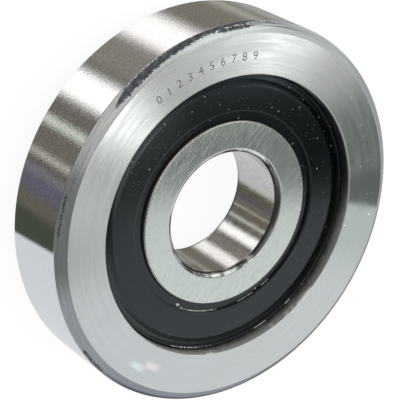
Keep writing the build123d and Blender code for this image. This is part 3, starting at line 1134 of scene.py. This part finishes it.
# %% [markdown]
# Each strip of a turned surface takes its finish by where it lies on the section: the outer ring
# is ground on its tread, turned on its faces and bevels, and rough inside.

# %% Giving the finishes


def finish_strips(piece, finishes, choose):
    """Gives each face of a turned piece one of some materials.

    The choice is a function of the faces' middles and normals, as radius and height, and of the
    outward part of the normal and its upward part. It gives back the material's number.
    """
    mesh = piece.data
    middle, normal = np.empty((2, 3 * len(mesh.polygons)))
    mesh.polygons.foreach_get("center", middle)
    mesh.polygons.foreach_get("normal", normal)
    middle, normal = middle.reshape(-1, 3) / MM, normal.reshape(-1, 3)
    radius = np.hypot(middle[:, 0], middle[:, 1])
    outward = (middle[:, 0] * normal[:, 0] + middle[:, 1] * normal[:, 1]) / radius
    for material in finishes:
        mesh.materials.append(material)
    chosen = choose(radius, middle[:, 2], outward, normal[:, 2])
    mesh.polygons.foreach_set("material_index", chosen.astype(np.int32))
    mesh.update()


def outer_finish(radius, height, outward, upward):
    """Tread 0, faces 1, bevels 2 and everything inside 3."""
    tread = (radius > TREAD_RADIUS - 0.2) & (outward > 0.92)
    face = (np.abs(upward) > 0.9) & (np.abs(height) > FRONT - 0.1)
    outside = radius > TREAD_RADIUS - BACK_BEVEL - 1
    return np.select([tread, face, outside], [0, 1, 2], 3)


def inner_finish(radius, height, outward, upward):
    """Bore 0, faces 1, the bright outer edges 2, everything else 3, and the bore's corners 4."""
    bore = outward < -0.35
    corner = (radius < BORE_RADIUS + BORE_CORNER) & (outward < -0.12) & (np.abs(upward) > 0.08)
    near_face = (height > INNER_FRONT - 0.6) | (height < INNER_BACK + 0.6)
    edge = near_face & (outward > 0.2) & (radius > LAND_FACE - 0.1)
    face = near_face & (np.abs(upward) > 0.6)
    return np.select([corner, bore & (radius < BORE_RADIUS + BORE_CORNER), edge, face], [4, 0, 2, 1], 3)


finish_strips(outer_ring, [TREAD_STEEL, FACE_STEEL, CHAMFER_STEEL, RECESS_STEEL], outer_finish)
finish_strips(inner_ring, [BORE_STEEL, INNER_FACE_STEEL, EDGE_STEEL, RECESS_STEEL, CORNER_STEEL],
              inner_finish)
for seal in (seal_front, seal_rear):
    seal.data.materials.append(RUBBER)
for name, node in frame["nodes"].items():
    finish = BALL_STEEL if name.startswith("ball") else CAGE_STEEL if name.startswith("cage") else None
    if finish and node.material_slots:
        for slot in node.material_slots:
            slot.link = "OBJECT"
            slot.material = finish
    elif finish:
        node.data.materials.append(finish)
print("finished", len(frame["nodes"]), "nodes")

# %% [markdown]
# The face carries a row of small etched numbers, plain digits in counting order. Each digit is a
# letter shape from the built-in font, turned into a mesh and laid on the circle with its top
# outwards. It stands a hundredth of a millimetre proud, so it covers the bright face.

# %% Etched digits
DIGITS = "0123456789"
DIGIT_RADIUS, DIGIT_START, DIGIT_STEP = 52.2, -21.0, -4.4
DIGIT_SIZE, DIGIT_PROUD, DIGIT_SUNK, DIGIT_THINNER = 3.9, 0.012, 0.004, 0.035
MARK_DARK, MARK_PALE = (0.05, 0.055, 0.06, 1), (0.26, 0.27, 0.27, 1)


def letter_mesh(letter):
    """Vertices and faces of one letter, in millimetres, about its own middle."""
    curve = bpy.data.curves.new("letter", "FONT")
    curve.body = letter
    curve.size = DIGIT_SIZE
    curve.align_x = "CENTER"
    curve.align_y = "CENTER"
    curve.extrude = DIGIT_PROUD
    curve.offset = -DIGIT_THINNER
    curve.resolution_u = 3
    holder = bpy.data.objects.new("letter", curve)
    mesh = bpy.data.meshes.new_from_object(holder)
    points = np.empty(3 * len(mesh.vertices))
    mesh.vertices.foreach_get("co", points)
    faces = [list(face.vertices) for face in mesh.polygons]
    bpy.data.objects.remove(holder)
    return points.reshape(-1, 3), faces


def etched_digits():
    """All digits as one mesh.

    A letter's point (x, y, z) goes to the place at the circle's radius and the letter's azimuth,
    plus y outwards, plus x along the falling azimuth, and z above the face.
    """
    parts = []
    for index, letter in enumerate(DIGITS):
        flat, sides = letter_mesh(letter)
        turn = math.radians(DIGIT_START + index * DIGIT_STEP)
        outward = np.array([math.sin(turn), -math.cos(turn), 0])
        onward = np.array([-math.cos(turn), -math.sin(turn), 0])
        lift = np.maximum(flat[:, 2:3], -DIGIT_SUNK) + FRONT
        places = (DIGIT_RADIUS + flat[:, 1:2]) * outward + flat[:, 0:1] * onward + lift * [0, 0, 1]
        parts.append((places, sides))
    material, tree, shader = new_material("etched_mark", Metallic=0.3)
    grain = use(tree, GRAIN, Fineness=2.5)
    tint(shader, blend(grain, MARK_DARK, MARK_PALE))
    roughen(shader, fade(grain, 0.5, 0.7))
    return joined("etched_digits", parts, material)


digits = etched_digits()
print("digits", len(digits.data.polygons), "faces")

# %% [markdown]
# A sealed bearing sweats a little grease at its lips. It lies in the corner under the seal's step
# as a thin broken bead, and drops sit on the lip and in rows on the outer bead of the seal. A few
# drops and two short beads also lie on the recess wall just below its mouth. The grease is near white,
# so that its drops and beads show as painted glints as well as grease. A drop is half a flattened
# ball that is sunk in a little, and the bead is a thin tube of changing width.

# %% Grease
MOUTH_HEIGHT = FRONT - 0.5 - BALL_PLANE
GREASE_DROPS = [
    # radius, azimuth, height above the ball plane, length, width
    (32.45, 95.5, LIP_TOP, 0.75, 0.5), (32.95, 99.0, LIP_TOP, 0.34, 0.25),
    (32.7, 151.0, LIP_TOP, 0.3, 0.22), (33.05, -12.0, LIP_TOP, 0.24, 0.16),
    (45.5, 171.0, BEAD_TOP, 0.2, 0.16), (46.1, 157.2, MOUTH_HEIGHT, 0.3, 0.3),
    (46.1, 158.4, MOUTH_HEIGHT - 0.5, 0.24, 0.2), (46.1, 160.4, MOUTH_HEIGHT - 0.1, 0.3, 0.34),
]
GREASE_ROWS = [
    # first azimuth, last azimuth, how many, size
    (101.5, 105.5, 5, 0.26), (106.5, 114.0, 8, 0.34), (115.5, 121.0, 5, 0.2),
    (143.4, 148.8, 7, 0.33), (160.3, 162.2, 3, 0.42),
]
LIP_CORNER = (LIP_OUTSIDE - 0.03, LIP_TOP + 0.03)
MOUTH_WALL = (RECESS_RADIUS + 0.2, MOUTH_HEIGHT - 0.1)
GREASE_RUNS = [
    # first azimuth, last azimuth, width, and the corner or wall that it lies on
    (97.0, 124.0, 0.24, LIP_CORNER), (137.0, 149.0, 0.17, LIP_CORNER), (154.5, 160.5, 0.26, LIP_CORNER),
    (-32.0, -14.0, 0.16, LIP_CORNER), (162.5, 172.5, 0.5, MOUTH_WALL), (116.4, 119.2, 0.45, MOUTH_WALL),
]
DROP_RINGS, DROP_SIDES, DROP_FLATNESS = 6, 14, 0.6
ROW_RADIUS, ROW_FLATNESS = 45.5, 0.7
RUN_POINTS, RUN_KNOTS, RUN_SIDES, RUN_TAPER, RUN_LEAST = 90, 15, 8, 8, 0.01
# Near white, so that the grease also shows as painted glints
PALE_GREASE_GLINT, BRIGHT_GREASE_GLINT = (0.70, 0.72, 0.70, 1), (0.98, 1.0, 0.98, 1)


def grease_and_glint_material():
    """Pale, with a wet gloss and some dust in it; its near-white colour also makes a painted glint."""
    material, tree, shader = new_material("grease_and_glints", Specular_IOR_Level=0.6)
    grain = use(tree, GRAIN, Fineness=1.8)
    tint(shader, blend(grain, PALE_GREASE_GLINT, BRIGHT_GREASE_GLINT))
    roughen(shader, fade(grain, 0.12, 0.3))
    return material


def drop_grid(radius, azimuth, height, length, width):
    """Half a flattened ball: rings at rising angles, long round the axis and narrow across."""
    rise = np.linspace(-0.35, math.pi / 2 - 0.05, DROP_RINGS)[:, None]
    turn = np.linspace(0, 2 * math.pi, DROP_SIDES, endpoint=False)[None]
    along = length * np.cos(rise) * np.cos(turn)
    across = width * np.cos(rise) * np.sin(turn)
    lift = DROP_FLATNESS * width * np.sin(rise) + 0 * turn
    angle = math.radians(azimuth) + along / radius
    reach = radius + across
    return np.stack([reach * np.sin(angle), -reach * np.cos(angle), BALL_PLANE + height + lift], -1)


def row_of_drops(first, last, count, size, seed):
    """Drops in a row on the seal's outer bead, each a little off its place and its size."""
    draw = np.random.default_rng(seed)
    step = (last - first) / (count - 1)
    azimuths = np.linspace(first, last, count) + draw.uniform(-0.25, 0.25, count) * step
    lengths = size * draw.uniform(0.6, 1.2, count)
    width = ROW_FLATNESS * size
    return [(ROW_RADIUS, azimuth, BEAD_TOP, length, width) for azimuth, length in zip(azimuths, lengths)]


def run_grid(start, end, width, middle, seed):
    """A thin tube round the axis at a radius and a height, whose width wanders and ends in nothing."""
    draw = np.random.default_rng(seed)
    along = np.linspace(0, 1, RUN_POINTS)
    knots = draw.uniform(0.25, 1.0, RUN_KNOTS)
    wander = np.interp(along, np.linspace(0, 1, RUN_KNOTS), knots)
    ends = np.clip(RUN_TAPER * along, 0, 1) * np.clip(RUN_TAPER * (1 - along), 0, 1)
    size = (width * wander * ends + RUN_LEAST)[:, None]
    angle = np.radians(start + (end - start) * along)[:, None]
    turn = np.linspace(0, 2 * math.pi, RUN_SIDES, endpoint=False)[None]
    reach = middle[0] + size * np.cos(turn)
    lift = middle[1] + size * np.sin(turn)
    return np.stack([reach * np.sin(angle), -reach * np.cos(angle), BALL_PLANE + lift], -1)


def closed_grid(grid):
    """Points and faces of a grid whose rows are rings, with a cap at each end."""
    rows, around = grid.shape[:2]
    index = np.arange(rows * around).reshape(rows, around)
    after = np.roll(index, -1, axis=1)
    sides = np.stack([index[:-1], after[:-1], after[1:], index[1:]], -1).reshape(-1, 4)
    return grid.reshape(-1, 3), [*sides.tolist(), index[0, ::-1].tolist(), index[-1].tolist()]


def grease_piece(name, grids):
    """One piece of grease from several closed grids, whose faces are all made to point outwards."""
    piece = joined(name, [closed_grid(grid) for grid in grids], GREASE_AND_GLINTS, smooth=True)
    shell = bmesh.new()
    shell.from_mesh(piece.data)
    bmesh.ops.recalc_face_normals(shell, faces=shell.faces)
    shell.to_mesh(piece.data)
    shell.free()
    return piece


GREASE_AND_GLINTS = grease_and_glint_material()
drops = GREASE_DROPS + [drop for seed, row in enumerate(GREASE_ROWS) for drop in row_of_drops(*row, seed)]
runs = [run_grid(*run, seed) for seed, run in enumerate(GREASE_RUNS)]
grease_drops = grease_piece("grease_drops", [drop_grid(*drop) for drop in drops])
grease_bead = grease_piece("grease_bead", runs)
print("grease_and_glints", len(grease_drops.data.polygons) + len(grease_bead.data.polygons), "faces")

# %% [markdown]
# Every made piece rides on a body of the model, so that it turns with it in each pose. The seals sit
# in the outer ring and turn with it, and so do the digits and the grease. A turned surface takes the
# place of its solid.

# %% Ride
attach(outer_ring, "outer")
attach(inner_ring, "inner")
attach(seal_front, "outer")
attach(seal_rear, "outer")
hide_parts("outer_ring")
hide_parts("inner_ring")
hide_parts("seal_front")
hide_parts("seal_rear")
for piece in (digits, grease_drops, grease_bead):
    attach(piece, "outer")
